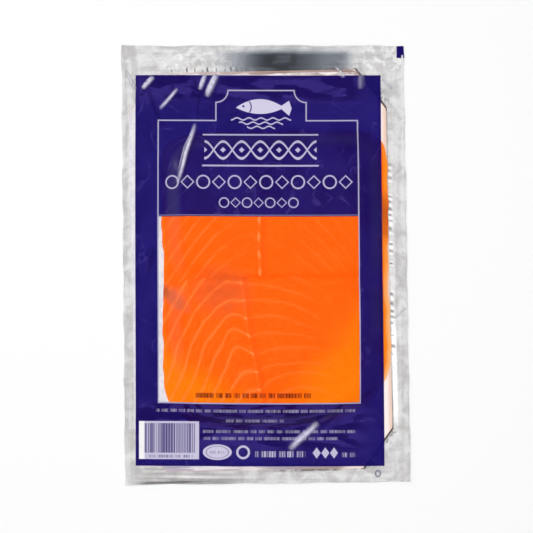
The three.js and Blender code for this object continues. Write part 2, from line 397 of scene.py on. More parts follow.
def shell_faces(rows, columns, stride):
    """Faces over a grid of points, its underside, and the same grid above it: those of the top, of
    the underside and of the edge. The underside keeps only the grid's lines at that stride, and
    meets every point of the edge."""
    count = rows * columns
    index = np.arange(count).reshape(rows, columns)
    ring = np.concatenate([index[0, :-1], index[:-1, -1], index[-1, :0:-1], index[:0:-1, 0]])
    after = np.roll(ring, -1)
    edge = np.stack([ring, after, after + count, ring + count], axis=-1)
    top = np.stack([index[:-1, :-1], index[:-1, 1:], index[1:, 1:], index[1:, :-1]], axis=-1) + count
    steps = [list(range(0, size - 1, stride)) + [size - 1] for size in (rows, columns)]
    under = []
    for row, next_row in zip(steps[0], steps[0][1:]):
        for column, next_column in zip(steps[1], steps[1][1:]):
            left = index[row:next_row:1 if column == 0 else stride, column]
            far = index[next_row, column:next_column:1 if next_row == rows - 1 else stride]
            right = index[next_row:row:-1 if next_column == columns - 1 else -stride, next_column]
            near = index[row, next_column:column:-1 if row == 0 else -stride]
            under.append([*left.tolist(), *far.tolist(), *right.tolist(), *near.tolist()])
    return top.reshape(-1, 4).tolist(), under, edge.tolist()


def shell(name, x, y, low, high, materials, attributes=None, stride=1):
    """A closed piece over a grid of points, each with a low and a high surface. The first material
    is on its top, and the last on its underside and edges."""
    points = np.concatenate([np.stack([x, y, side], axis=-1).reshape(-1, 3) for side in (low, high)]) * MM
    top, under, edge = shell_faces(*x.shape, stride)
    faces = [*top, *under, *edge]
    used = np.zeros(len(points), dtype=bool)
    used[[corner for face in faces for corner in face]] = True
    renumber = (np.cumsum(used) - 1).tolist()
    mesh = bpy.data.meshes.new(name)
    mesh.from_pydata(points[used].tolist(), [], [[renumber[corner] for corner in face] for face in faces])
    for material in materials:
        mesh.materials.append(material)
    slots = np.full(len(faces), len(materials) - 1, dtype=np.int32)
    slots[: len(top)] = 0
    mesh.polygons.foreach_set("material_index", slots)
    mesh.shade_smooth()
    mesh.set_sharp_from_angle(angle=math.radians(SHARP_ANGLE))
    for key, values in (attributes or {}).items():
        layer = mesh.attributes.new(key, "FLOAT", "POINT")
        both = np.concatenate([values.ravel(), values.ravel()])
        layer.data.foreach_set("value", both[used].astype(np.float32))
    mesh.update()
    piece = bpy.data.objects.new(name, mesh)
    bpy.context.scene.collection.objects.link(piece)
    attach(piece, "root")
    return piece


# Where the grid of the webs is finer, for pleats, creases and steps: start, end and spacing.
ACROSS_BANDS = (
    (-72.5, -62, 0.5),
    (-62, -46, 0.8),
    (-46, -24, 0.42),
    (8, 34, 0.6),
    (59, 68, 0.38),
    (68, 72.5, 0.6),
)
ALONG_BANDS = (
    (-110, -97, 0.5),
    (-97, -72, 0.6),
    (-72, 46, 0.7),
    (46, 84, 0.9),
    (84, 96, 0.45),
    (96, 110, 0.42),
)
COARSE = 1.4  # spacing elsewhere
across_lines = spread(pouch_low[0], pouch_high[0], ACROSS_BANDS, COARSE)
along_lines = spread(pouch_low[1], pouch_high[1], ALONG_BANDS, COARSE)
web_x, web_y = on_pouch(*np.meshgrid(across_lines, along_lines))


def bumped(place, strength, depth, height):
    """The normal of a surface with that relief, its depth in millimetres."""
    inputs = {"Strength": strength, "Distance": depth * MM, "Height": height}
    return place.node("ShaderNodeBump", {}, inputs)


def foil(place, upright, mirror, shade, white=None):
    """Metallised film: pale and crinkled, in faint bands along the seal's edges, darkened by painted shade
    where shade is given, painted white as a highlight where white is given, and a mirror where it is smooth."""
    grain = place.noise(0.9, 4, 0.65)
    mottle = place.noise(0.14, 2, 0.5, 0.8)
    bands = upright * place.stretched(0.45, 0.02) + (1 - upright) * place.stretched(0.02, 0.45)
    level = (grain * 0.2 + mottle * 0.45 + bands * 0.35).ramp(0.38, 0.62)
    base = level.tint(colour(206, 204, 204), colour(246, 245, 245))
    if white:
        base = white.tint(base, (1, 1, 1, 1))
    base = shade.tint(base, colour(72, 64, 62))
    base = mirror.tint(base, colour(206, 216, 232))
    facets = {"Vector": place, "Scale": 0.35}
    crumple = place.node("ShaderNodeTexVoronoi", {"feature": "DISTANCE_TO_EDGE"}, facets)
    relief = crumple.ramp(0, 0.5) * 0.4 + grain * 0.6
    surface = {
        "Base Color": base,
        "Metallic": mirror * 0.86 + 0.1,
        "Roughness": (1 - mirror) * 0.25 + 0.14,
        "Normal": bumped(place, (1 - mirror) * 0.45 + 0.05, 0.4, relief),
    }
    return place.node("ShaderNodeBsdfPrincipled", {}, surface)


def pleat_marks(away, position, pitch, share, reach):
    """Painted dark strokes of shade where narrow pleats run in from the seal to the board's edge, in a share
    of the places for them, and painted pale highlights on the folds between them."""
    uneven = (position / 5.3).math("SINE") * 0.3 + (position / 1.9).math("SINE") * 0.14
    cell = position / pitch + uneven + away * 0.06
    beside = abs(cell % 1 - 0.5)
    length = cell.white()
    girth = (cell + 50).white()
    stroke = beside.ramp(girth * 0.2 + 0.14, girth * 0.12) * away.ramp(0.1, 0.6)
    dark = stroke * away.ramp(length * reach + 0.9, length * reach * 0.7 + 0.5)
    pale = beside.ramp(0.18, 0.36) * away.plateau(0.2, 0.7, reach * 0.6 + 0.4, reach + 1.2)
    chosen = length.ramp(1 - share, 1.1 - share)
    return dark * chosen, pale * chosen


silver_inside, place = new_material("silver_inside")
x, y, _ = parts(place)
across, along, clip = from_board(x, y)

# The mirror of the pocket, dark in its middle, lighter to the right and streaked along the edge.
left, bottom, right, top = POCKET
mirror = x.plateau(left - 6, left + 30, right - 11, right - 1) * (1 - x.ramp(10, 34) * 0.25)
mirror = mirror * y.plateau(bottom - POCKET_EDGE, bottom, top - 3.6, top + 1)
streaks = place.stretched(0.05, 0.4) * 0.5 + place.noise(0.12, 2) * 0.5
mirror = mirror * (streaks + 0.5).least(1.0)

# At the foot, towards the left, the seal's foil is darkened in streaks along the edge and in a line near it,
# a painted dark reflection, round a painted pale highlight line.
foot_dark_reflection = x.plateau(-70, -58, -30, 8) * y.ramp(-100.2, -101.6)
streaks = place.stretched(0.03, 0.6).ramp(0.35, 0.6)
foot_edge = abs(y + 108.6 + (x / 19).math("SINE") * 0.3).ramp(1.1, 0.2) * x.ramp(-24, -44)
shade = foot_dark_reflection * (streaks * 0.3 + foot_edge * 0.5 + 0.1)
white = abs(y + 105.4).ramp(1.3, 0.4) * x.plateau(-68, -60, -30, 10) * 0.5

# At the head, on both sides of the pocket, the foil has painted white highlights in patches, as on folded
# foil.
patches = place.noise(0.3, 2, 0.5, 0.4).ramp(0.48, 0.58)
head_left = y.plateau(97, 98.5, 105, 109) * x.plateau(-62, -46, -10, 4) * 0.3
head_right = y.ramp(97, 98.5) * x.ramp(44, 52) * 0.35
white = white.most(patches * head_left.most(head_right))

# Beyond the board's right edge, where the foil folds up, it has a painted white highlight. There and above
# the board narrow pleats get painted dark strokes of shade between painted pale highlights on their folds.
on_right = x.ramp(0, 1)
fold_highlight_and_shade = across.plateau(0.3, 0.9, 2.4, 3.6) * on_right * y.plateau(-88, -70, 40, 70)
fold_highlight_and_shade = fold_highlight_and_shade * (y.ramp(-20, -36) * 0.7 + 0.25)
white = white.most(fold_highlight_and_shade * (place.noise(0.35, 2) * 0.8 + 0.5).least(1.0))
beside_fish = on_right * y.plateau(-56, -40, 46, 56)
dark, pale = pleat_marks(across, y, pitch=3.3, share=0.65, reach=2.2)
shade = shade.most(dark * beside_fish * 0.6)
white = white.most(pale * beside_fish * (place.noise(0.6, 2) * 0.7 + 0.4).least(1.0))
above_board = y.ramp(0, 1) * x.plateau(-52, -44, -8, 2)
dark, pale = pleat_marks(along, x, pitch=2.3, share=0.65, reach=2.6)
shade = shade.most(dark * above_board * 0.8)
white = white.most(pale * above_board * 0.35)

# Painted dark lines of shade follow the board's edges, deepest at the two clipped corners on the right, and
# beyond those the crumpled foil has patches of painted shade.
corner_line = abs(clip - 0.6 + place.noise(0.5, 1) * 0.6).ramp(1.1, 0.5) * on_right
corner_line = corner_line * across.ramp(0.9, 0.3) * along.ramp(0.9, 0.3)
side_line = abs(across - 0.35).ramp(0.7, 0.2) * on_right * clip.ramp(0.8, 0.1)
side_line = side_line * y.ramp(-40, -70).most(y.ramp(30, 60) * 0.7)
head_line = abs(along - 0.5).ramp(1.0, 0.3) * x.plateau(-10, 16, 34, 40)
head_line = head_line * place.noise(0.3, 2).ramp(0.3, 0.5)
shade = shade.most(corner_line * 0.95).most(side_line * 0.45).most(head_line * 0.75)
crumple_shade = place.noise(0.45, 3, 0.6, 0.6).ramp(0.53, 0.6) * clip.plateau(0.3, 1, 2.5, 6)
crumple_shade = crumple_shade * on_right * across.ramp(3.5, 1) * along.ramp(2, 0)
shade = shade.most(crumple_shade * 0.55)
side_seals = abs(x).ramp(61, 65)
cover(silver_inside, foil(place, side_seals, mirror, shade.least(1.0), white.least(1.0)))

# On the back the board's outline presses through, smooth within and crinkled in the seal, with a faint line
# of painted shade along the outline.
silver_back, place = new_material("silver_back")
x, y, _ = parts(place)
across, along, clip = from_board(x, y)
outside = across.most(along).most(clip)
smoothness = outside.ramp(2.5, -1) * 0.45 + 0.3 + place.noise(0.03, 2) * 0.15
pressed_outline_shade = abs(outside - 0.4).ramp(0.9, 0.1) * place.noise(0.15, 2).ramp(0.3, 0.6)
cover(silver_back, foil(place, abs(x).ramp(61, 65), smoothness, pressed_outline_shade * 0.3))

foil_low = rim_height(web_x, web_y)
foil_high = foil_low + PANEL_WEB + (WEB - PANEL_WEB) * smooth(outside_panel(web_x, web_y), 0, 2)
foils = [silver_inside, silver_back]
lower_web = shell("lower_web_foil", web_x, web_y, foil_low, foil_high, foils, stride=2)
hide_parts("lower_web")

# ------------------------------------------------------------------------------------------- board
# The fish lies on a carton board, white coated on its front, die cut with clipped corners.

FILM_CLARITY = 0.8  # share of the light that comes back through the film over it


def under_film(red, green, blue):
    """Pigment that shows as this screen colour under the clear film."""
    return (*(min(1, part / FILM_CLARITY) for part in colour(red, green, blue)[:3]), 1)


carton, place = new_material("white_carton")
x, y, _ = parts(place)
across, along, clip = from_board(x, y)
coat = x.ramp(-62, 50).tint(under_film(206, 203, 212), under_film(246, 230, 224))
mottle = place.noise(0.35, 3).ramp(0.3, 0.7)
coat = (mottle * 0.6).tint(coat, under_film(236, 232, 236))
# Along the head edge the coat is darker in streaks. Painted shade darkens it at both ends right of the
# middle, and lies in streaks along the foot edge.
head_dark_streaks = place.stretched(0.09, 0.4).ramp(0.42, 0.56) * y.ramp(94, 96)
head_dark_streaks = head_dark_streaks * (x.ramp(-40, 10) * 0.4 + 0.55)
coat = head_dark_streaks.tint(coat, under_film(134, 112, 108))
head_shade = along.ramp(-1.5, -0.8) * x.plateau(-6, 16, 36, 42)
coat = (head_shade * 0.85).tint(coat, under_film(122, 104, 102))
foot_shade = place.stretched(0.05, 0.6).ramp(0.4, 0.55) * y.ramp(-99.5, -100.5)
coat = (foot_shade * 0.8).tint(coat, under_film(150, 144, 164))
cut_side = across.ramp(-2.6, -0.6) * x.ramp(0, 40) * 0.65
cut_ends = along.most(clip).ramp(-1.2, -0.2) * 0.25
coat = cut_side.most(cut_ends).tint(coat, under_film(222, 178, 150))
fibre = bumped(place, 0.25, 0.05, place.noise(4, 3, 0.6))
surface = {"Base Color": coat, "Roughness": 0.55, "Normal": fibre}
cover(carton, place.node("ShaderNodeBsdfPrincipled", {}, surface))
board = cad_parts["board"]
for slot in board.material_slots:
    slot.material = carton

# ------------------------------------------------------------------------------------------ slices
# Three slices of cured and cold smoked fish, cut thin across the side and laid so that each laps
# over the one before. Each is soft, so it settles over the step below, and it thins to its rim.

SLICE_TURN = {"salmon_slice_1": 0.8, "salmon_slice_2": 0.7, "salmon_slice_3": 1}  # degrees
RIGHT_FOOT_SQUARENESS = {"salmon_slice_1": 2.3, "salmon_slice_2": 5.5, "salmon_slice_3": 2.3}
HEAD_SQUARENESS = 7
LEFT_FOOT_SQUARENESS = 3.7
KNIFE_WANDER = 0.003  # how far the knife leaves the plain outline, as a share of its radius
SLICE_THICKNESS = 3.5
SLICE_RIM = 0.2  # thickness left at the slice's own rim
SLICE_TAPER = 0.24  # share of the half size over which a slice thins
SLICE_SAG = 5  # radius of the curves in which a slice settles
SLICE_GAP = 0.04
SLICE_SHARE = 0.995  # of the solid's size, which leaves room for the knife's wander
SLICE_CELLS = 156

CELL = 0.5  # of the grid on which slices and film settle
OVERSHOOT = 1.85  # of each correction, so that a sheet settles in fewer passes
cell_x, cell_y = np.meshgrid(
    np.arange(pouch_low[0] - 1, pouch_high[0] + 1, CELL),
    np.arange(pouch_low[1] - 1, pouch_high[1] + 1, CELL),
)


def settle(support, free, radius, passes):
    """Heights of a sheet that hangs between its supports in curves of one radius."""
    sheet = support.copy()
    turn = (np.indices(support.shape).sum(axis=0) % 2)[1:-1, 1:-1] == 0
    under, loose = support[1:-1, 1:-1], free[1:-1, 1:-1]
    for half in range(2 * passes):
        here = sheet[1:-1, 1:-1]
        around = sheet[:-2, 1:-1] + sheet[2:, 1:-1] + sheet[1:-1, :-2] + sheet[1:-1, 2:]
        moved = here + OVERSHOOT * ((around - CELL**2 / radius) / 4 - here)
        now = (turn if half % 2 else ~turn) & loose
        sheet[1:-1, 1:-1] = np.where(now, np.maximum(under, moved), here)
    return sheet


def sample(field, x, y):
    """Value of a field of cells at any points."""
    column = np.clip((x - cell_x[0, 0]) / CELL, 0, field.shape[1] - 1.001)
    row = np.clip((y - cell_y[0, 0]) / CELL, 0, field.shape[0] - 1.001)
    i, j = row.astype(int), column.astype(int)
    u, v = column - j, row - i
    before = field[i, j] * (1 - u) + field[i, j + 1] * u
    after = field[i + 1, j] * (1 - u) + field[i + 1, j + 1] * u
    return before * (1 - v) + after * v


def slice_frame(node):
    """Centre, half sizes and turn of a slice, from its node."""
    low, high = millimetres(node)
    return (low + high)[:2] / 2, (high - low)[:2] / 2 * SLICE_SHARE, math.radians(SLICE_TURN[node])


def wander(angle):
    """How far the knife leaves the plain outline, as a share of its radius."""
    waves = np.sin(2 * angle + 0.5) + np.sin(7 * angle + 2) + np.sin(16 * angle)
    return KNIFE_WANDER * (waves + 0.7 * np.sin(29 * angle))


def squareness(node, u, v):
    """Exponent of a slice's outline in each of its corners: 2 is an ellipse."""
    foot = np.where(u > 0, RIGHT_FOOT_SQUARENESS[node], LEFT_FOOT_SQUARENESS)
    return np.where(v > 0, HEAD_SQUARENESS, foot)


def slice_level(node, x, y):
    """0 at the middle of a slice, 1 on its outline."""
    (centre_x, centre_y), (half_x, half_y), turn = slice_frame(node)
    u = ((x - centre_x) * math.cos(turn) + (y - centre_y) * math.sin(turn)) / half_x
    v = ((y - centre_y) * math.cos(turn) - (x - centre_x) * math.sin(turn)) / half_y
    power = squareness(node, u, v)
    level = (np.abs(u) ** power + np.abs(v) ** power) ** (1 / power)
    return level / (1 + wander(np.arctan2(v, u)))


def slice_thickness(level):
    """Full in the middle and thinning to the rim."""
    return SLICE_RIM + (SLICE_THICKNESS - SLICE_RIM) * smooth(1 - level, 0, SLICE_TAPER)


undersides = {}
packed = np.where(np.maximum.reduce(from_board(cell_x, cell_y)) <= 0, board_high[2], PANEL_WEB)
for node in SLICE_TURN:
    level = slice_level(node, cell_x, cell_y)
    bed = np.maximum(packed, board_high[2] + SLICE_GAP)
    undersides[node] = settle(bed, level < 1.2, SLICE_SAG, passes=40) + SLICE_GAP
    packed = np.where(level < 1, np.maximum(packed, undersides[node] + slice_thickness(level)), packed)


BAND_SPACING = 8.8  # between bands of fat along the midline
BAND_BLEND = 2.2  # over which a band bends down
BAND_SAG = 0.022  # how fast it steepens past its bend
STEEPEST_BAND = 1.35
PEAK_REACH = 11  # from the midline, within which a band rises


def peak(reach, height):
    """A band first rises from the midline to a blunt peak."""
    return height * reach * np.exp(-((reach / PEAK_REACH) ** 4))


def drop(reach, bend, fall):
    """How far a band has come down at a distance from the midline. Past its bend it falls more and
    more steeply, up to a limit."""
    past = BAND_BLEND * np.logaddexp(0, (reach - bend) / BAND_BLEND)
    curved = np.minimum(past, (STEEPEST_BAND - fall) / (2 * BAND_SAG))
    return fall * past + BAND_SAG * curved * (2 * past - curved)


def head_bands(x, y):
    """Bands of the slices at the head: long slants on both sides of the midline."""
    side = x + 2.6 + 0.4 * np.sin(y / 9)
    left, right = np.maximum(0, -side), np.maximum(0, side)
    lift = peak(left, 0.2) - drop(left, 9, 0.35) - 0.3 * right - 0.012 * right**2
    return (y - 5.3 - lift) / BAND_SPACING, side


def foot_bands(x, y):
    """Bands of the slice at the foot: round at its head, pointed lower down and flat at its foot."""
    side = x + 8 + 0.17 * (y + 33) + 0.4 * np.sin(y / 7)
    left, right = np.maximum(0, -side), np.maximum(0, side)
    height = 0.1 + 0.62 * smooth(-y, 14, 34) - 0.65 * smooth(-y, 43, 58)
    bend = 8.5 - 4.5 * smooth(-y, 36, 64)
    fall = 0.45 + 0.12 * smooth(-y, 8, 46)
    lift_left = peak(left, height) - drop(left, bend, fall)
    slope = 0.3 * smooth(-y, 8, 26) + 0.6 * smooth(-y, 46, 56)
    curve = 0.0085 + 0.0065 * smooth(-y, 8, 26) - 0.009 * smooth(-y, 28, 42) + 0.014 * smooth(-y, 46, 56)
    lift_right = slope * right - curve * right**2
    return (y + 8.75 - lift_left - lift_right) / BAND_SPACING, side


def slice_grid(node):
    """A grid that runs from a slice's centre out to its outline in squared rings."""
    (centre_x, centre_y), (half_x, half_y), turn = slice_frame(node)
    s, t = np.meshgrid(np.linspace(-1, 1, SLICE_CELLS + 1), np.linspace(-1, 1, SLICE_CELLS + 1))
    level = np.maximum(np.abs(s), np.abs(t))
    angle = np.arctan2(t, s)
    power = squareness(node, s, t)
    plain = (np.abs(np.cos(angle)) ** power + np.abs(np.sin(angle)) ** power) ** (-1 / power)
    radius = level * plain * (1 + wander(angle))
    u, v = radius * np.cos(angle) * half_x, radius * np.sin(angle) * half_y
    x = centre_x + u * math.cos(turn) - v * math.sin(turn)
    y = centre_y + v * math.cos(turn) + u * math.sin(turn)
    return x, y, level


def stored(place, name):
    """The value that the piece's mesh keeps under that name."""
    return place.node("ShaderNodeAttribute", {"attribute_name": name}, {}, 2)


def plain_flesh(place, x, y):
    """Orange, and golden at the foot and in the strip at the right."""
    golden = (x * -0.6 - y).ramp(58, 88).most((x * 1.2 - y).ramp(60, 105)).most(x.ramp(56, 60) * 0.8)
    golden = (golden + (place.noise(0.05, 3, 0.55) - 0.5) * 0.7).ramp(0.0, 1.0)
    clouds = place.noise(0.13, 3, 0.6).ramp(0.35, 0.75)
    base = clouds.tint(under_film(255, 92, 0), under_film(255, 96, 8))
    base = golden.tint(base, under_film(255, 121, 0))
    return (x.ramp(57, 59.5) * 0.75).tint(base, under_film(246, 134, 8))


def fat_lines(place, phase, from_line, side):
    """Pale lines in a soft halo, and faint ones half way between them."""
    line = from_line.ramp(0.16, 0.0)
    halo = from_line.ramp(0.3, 0.0) * 0.3
    faint = abs(phase % 1 - 0.5).ramp(0.07, 0.0) * place.noise(0.2, 2).ramp(0.5, 0.65) * 0.35
    patchy = place.noise(0.12, 2).ramp(0.3, 0.55) * 0.55 + 0.45
    return line.most(halo).most(faint) * patchy * (1 - abs(side).ramp(2.5, 0.0) * 0.6)


def with_midline(base, place, side, from_line, knot_width, knot_height):
    """Flesh with a deep seam along the midline, a pale thread and a knot where each band meets it."""
    from_seam = (side - 1.7) / 1.3
    seam = (from_seam * from_seam * -1).math("EXPONENT") * 0.3
    base = seam.tint(base, under_film(238, 72, 12))
    from_thread = side + 0.6
    thread = abs(from_thread).ramp(0.75, 0.1) * place.noise(0.25, 1).ramp(0.35, 0.6)
    base = (thread * 0.3).tint(base, under_film(255, 128, 64))
    across = from_thread / knot_width
    along = from_line * BAND_SPACING / knot_height
    knot = (across * across + along * along + place.noise(0.9, 1) * 0.8).ramp(1.35, 0.5)
    return (knot * 0.7).tint(base, under_film(255, 140, 72))


# Soft brown patches: a brown stain left of the middle, a darker smear and spot where the slices meet on the
# left, and painted shade on the strip at the right, where the fish's side turns down. Each has its centre,
# half length and half width, angle to x, strength, how far the fat stays clear of it, and colour.
STAINS_AND_SHADE = (
    ((-22, -13), (17, 15), 0.0, 0.36, 0.7, (150, 84, 62)),
    ((-46, -16), (12, 4.8), -0.7, 0.55, 0.7, (166, 98, 76)),
    ((-51.5, -13), (3.5, 4.5), 0.0, 0.6, 0.0, (150, 72, 44)),
    # painted shade on the fish's right side
    ((60, 25), (9, 14), 0.0, 0.85, 0.0, (186, 76, 24)),
)


def with_stains_and_shade(base, place, x, y, fat):
    """Flesh with soft brown patches, the last of them painted shade."""
    for (centre_x, centre_y), (half_long, half_wide), angle, strength, clear_fat, brown in STAINS_AND_SHADE:
        from_x, from_y = x - centre_x, y - centre_y
        cos, sin = math.cos(angle), math.sin(angle)
        along = (from_x * cos + from_y * sin) / half_long
        across = (from_y * cos - from_x * sin) / half_wide
        spot = (across * across + along * along + place.noise(0.25, 2) * 0.9).ramp(1.7, 0.2)
        base = (spot * (1 - fat * clear_fat) * strength).tint(base, under_film(*brown))
    return base


def flesh(name, strength_left, strength_right, right_reach, near_midline, knot_width, knot_height):
    """Moist orange flesh with pale bands of fat, which swell to knots on the midline. Near it the
    bands may be fainter."""
    material, place = new_material(name)
    x, y, _ = parts(place)
    side, rim = stored(place, "side"), stored(place, "rim")
    phase = stored(place, "band") + place.noise(0.17, 2) * 0.26 - 0.13
    from_line = abs((phase + 0.5) % 1 - 0.5)

    on_left = side.ramp(1.5, -1.5) * strength_left
    on_right = side.ramp(-1.5, 1.5) * side.ramp(right_reach, right_reach * 0.55) * strength_right
    strength = (on_left + on_right) * (abs(side).ramp(12, 28) * (1 - near_midline) + near_midline)
    fat = fat_lines(place, phase, from_line, side) * strength
    fibres = place.node("ShaderNodeCombineXYZ", {}, {0: phase * 8, 1: side * 0.3, 2: 0.0})
    grain = fibres.noise(1.0, 3, 0.6)

    base = plain_flesh(place, x, y)
    base = (grain.ramp(0.4, 0.75) * 0.14).tint(base, under_film(255, 130, 50))
    base = (grain.ramp(0.5, 0.25) * 0.2).tint(base, under_film(244, 82, 6))
    base = (fat * 0.62).tint(base, under_film(255, 136, 64))
    base = with_midline(base, place, side, from_line, knot_width, knot_height)
    base = (rim.ramp(0.4, 1) * 0.2).tint(base, under_film(255, 140, 40))
    # A painted sheen on the fish's right side, stronger towards the foot.
    painted_sheen = rim.ramp(0.2, 1) * x.ramp(56, 58) * (y.ramp(20, -25) * 0.55 + 0.05)
    base = painted_sheen.tint(base, under_film(250, 196, 140))
    base = with_stains_and_shade(base, place, x, y, fat)

    relief = bumped(place, 0.4, 0.15, fat * 0.5 + grain * 0.25)
    surface = {"Base Color": base, "Roughness": fat * 0.1 + 0.4, "Specular IOR Level": 0.1, "Normal": relief}
    surface.update({"Subsurface Weight": 0.1, "Subsurface Scale": 2 * MM})
    cover(material, place.node("ShaderNodeBsdfPrincipled", {}, surface))
    return material


GROOVE = 0.06  # depth of the line between two flakes
UNEVENNESS = 0.08  # depth of the soft hollows in a slice's face
THINNEST = 0.3  # of a slice, away from its rim

# How pale the fat is left and right of the midline and near it, how far it reaches to the right,
# and how large the knots are.
HEAD_FAT = {
    "strength_left": 0.6,
    "strength_right": 0.22,
    "right_reach": 60,
    "near_midline": 0.25,
    "knot_width": 1.0,
    "knot_height": 3.0,
}
FOOT_FAT = {
    "strength_left": 0.9,
    "strength_right": 0.4,
    "right_reach": 42,
    "near_midline": 1.0,
    "knot_width": 1.2,
    "knot_height": 1.0,
}
SLICE_LOOKS = {
    "salmon_slice_1": (head_bands, flesh("salmon_flesh_low", **HEAD_FAT)),
    "salmon_slice_2": (head_bands, flesh("salmon_flesh_head", **HEAD_FAT)),
    "salmon_slice_3": (foot_bands, flesh("salmon_flesh_foot", **FOOT_FAT)),
}
for node, (bands, look) in SLICE_LOOKS.items():
    x, y, level = slice_grid(node)
    band, side = bands(x, y)
    covered = np.minimum.reduce([slice_level(other, x, y) for other in SLICE_TURN])
    low = sample(undersides[node], x, y)
    groove = GROOVE * smooth(np.abs((band + 0.5) % 1 - 0.5), 0.16, 0.02) * smooth(side, 4, -4)
    uneven = UNEVENNESS * (1 + np.sin(x / 7.3 + y / 12) * np.sin(y / 8.9 - x / 17))
    full = low + slice_thickness(level) - groove - uneven * smooth(1 - level, 0, 0.1)
    high = np.maximum(low + THINNEST, full)
    fields = {"band": band, "side": side, "rim": smooth(covered, 0.93, 1.0)}
    piece = shell(node + "_flesh", x, y, low, high, [look], fields)
    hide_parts(node)

# --------------------------------------------------------------------------------------- upper web
# The front of the pouch is one clear glossy film. The vacuum has pulled it down over the fish, in
# tight curves beside it, in pleats beyond the board's edges and in creases over the clipped corners.

VACUUM_RADIUS = 6
FILM_GAP = 0.05
FILM_REACH = 2  # cells by which the film stands off the steps under it

# Creases that stand up from the film: where each starts and ends, and its half width.
CREASES = [
    ((-35.8, 70.8), (-44.2, 41), 1.2),
    ((-25, 96), (-30, 84.5), 1.7),
    ((-30.5, 95.5), (-33.5, 88), 1.2),
    ((-56.5, 94.5), (-62, 88.5), 1.2),
    ((-44.5, 88.5), (-53, 78.5), 1.0),
    ((25.5, -78), (11.5, -91.5), 1.9),
    ((47.2, 102), (47.4, 88), 0.9),
    ((34, 99.5), (39, 94), 1.1),
    ((57.8, 93), (63, 88), 0.7),
    ((58.4, 87.5), (61.4, 81.5), 0.7),
    ((-65, 88), (-70, 98), 0.9),
    ((64.5, -26.5), (70, -21.5), 0.5),
]
CREASE_SLOPE = 0.8
CREASE_WAVER = 0.12
STREAK_HALF = 0.6  # of the streaks along a crease, in its half widths

# Soft ones, where the film is only a little slack.
SLACK = [
    ((36, -68), (21, -83), 2.2),
    ((-62.5, 91), (-53, 66), 1.5),
    ((-35.5, 88), (-36, 72), 1.2),
    ((-51, 93), (-47, 84), 1.4),
    ((-39, 95), (-34.5, 80), 1.6),
    ((48, -68), (55, -63.5), 1.2),
    ((-61.5, -42), (-55, -49), 1.2),
    ((20, 81), (42, 89), 1.2),
    ((-3, 91), (34, 93.5), 1.2),
    ((-58, 10), (-62, -6), 1.6),
    ((53, 14), (57, 6), 1.6),
    ((53, -28), (58, -34), 1.6),
]
SLACK_SLOPE = 0.14


def by_line(x, y, start, end):
    """Distance across a crease's line, which wavers a little, and how full the crease is there."""
    start, end = np.array(start), np.array(end)
    length = np.hypot(*(end - start))
    along_x, along_y = (end - start) / length
    along = (x - start[0]) * along_x + (y - start[1]) * along_y
    across = (x - start[0]) * along_y - (y - start[1]) * along_x + CREASE_WAVER * np.sin(along / 3)
    return across, np.sqrt(np.clip(1 - (2 * along / length - 1) ** 2, 0, 1))


def crease(x, y, start, end, half_width, slope):
    """Height of a ridge with plain flanks, steeper on one side, that runs out at both ends."""
    across, taper = by_line(x, y, start, end)
    away = np.where(across > 0, across, -across / 1.5)
    return slope * np.maximum(0, half_width * taper - away)


def streak(x, y, start, end, half_width, beside):
    """A soft streak along a crease, that many half widths beside its line."""
    across, taper = by_line(x, y, start, end)
    return taper * np.exp(-(((across / half_width + beside) / STREAK_HALF) ** 2))


def widened(field, cells):
    """The highest value within that many cells."""
    for axis in (0, 1):
        field = np.maximum.reduce([np.roll(field, step, axis) for step in range(-cells, cells + 1)])
    return field


free = outside_panel(cell_x, cell_y) == 0
cell_rim = rim_height(cell_x, cell_y) + np.where(free, PANEL_WEB, WEB) + SEAL
cell_support = np.where(free, np.maximum(widened(packed, FILM_REACH) + FILM_GAP, cell_rim), cell_rim)
hung = settle(cell_support, free, VACUUM_RADIUS, passes=220)

sealed = foil_high + SEAL
draped = np.maximum(sample(hung, web_x, web_y), sealed)
film_low = np.where(outside_panel(web_x, web_y) > 0, sealed, draped)
ridges = [crease(web_x, web_y, *line, CREASE_SLOPE) for line in CREASES]
ridges += [crease(web_x, web_y, *line, SLACK_SLOPE) for line in SLACK]
film_high = film_low + WEB + np.maximum.reduce(ridges) + pleats(web_x, web_y)

# A crease gets a painted pale highlight along its crest, and beside it, where the film is folded under,
# painted shade.
CREST_BESIDE = 0.25
FOLD_BESIDE = 1.5
crest = np.maximum.reduce([streak(web_x, web_y, *line, CREST_BESIDE) for line in CREASES])
fold_highlight_and_shade = np.maximum.reduce([streak(web_x, web_y, *line, FOLD_BESIDE) for line in CREASES + SLACK])

# The print lies within a field of dark blue ink, with a window over the fish. Two colours are
# used, dark blue and a pale lavender white, and brown for the line in the window's foot. A box has
# its left, bottom, right and top, and a disc its centre and half sizes.
FIELD_BOX = (-65.2, -100.2, 57.2, 95)
WINDOW_BOX = (-53.6, -68.2, 45.3, 24.4)
CODE_BOX = (-63.5, -96.8, -33.5, -77.8)
SOFT = 0.12  # the edge of the ink
SPLAY = 0.00017  # how much wider the print is towards its foot


def highest(values):
    """The highest of some values."""
    top, *others = values
    for value in others:
        top = top.most(value)
    return top


def box(x, y, left, bottom, right, top):
    """Distance from a box's outline, negative within."""
    across = abs(x - (left + right) / 2) - (right - left) / 2
    along = abs(y - (bottom + top) / 2) - (top - bottom) / 2
    return across.most(along)


def disc(x, y, centre_x, centre_y, half_x, half_y):
    """Distance from an oval's outline, negative within."""
    across = (x - centre_x) / half_x
    along = (y - centre_y) / half_y
    return ((across * across + along * along).math("SQRT") - 1) * min(half_x, half_y)


def inside(distance):
    """1 where the distance is negative."""
    return distance.ramp(SOFT, -SOFT)


def outline(distance, width):
    """A line of that width where the distance is 0."""
    return inside(abs(distance) - width / 2)


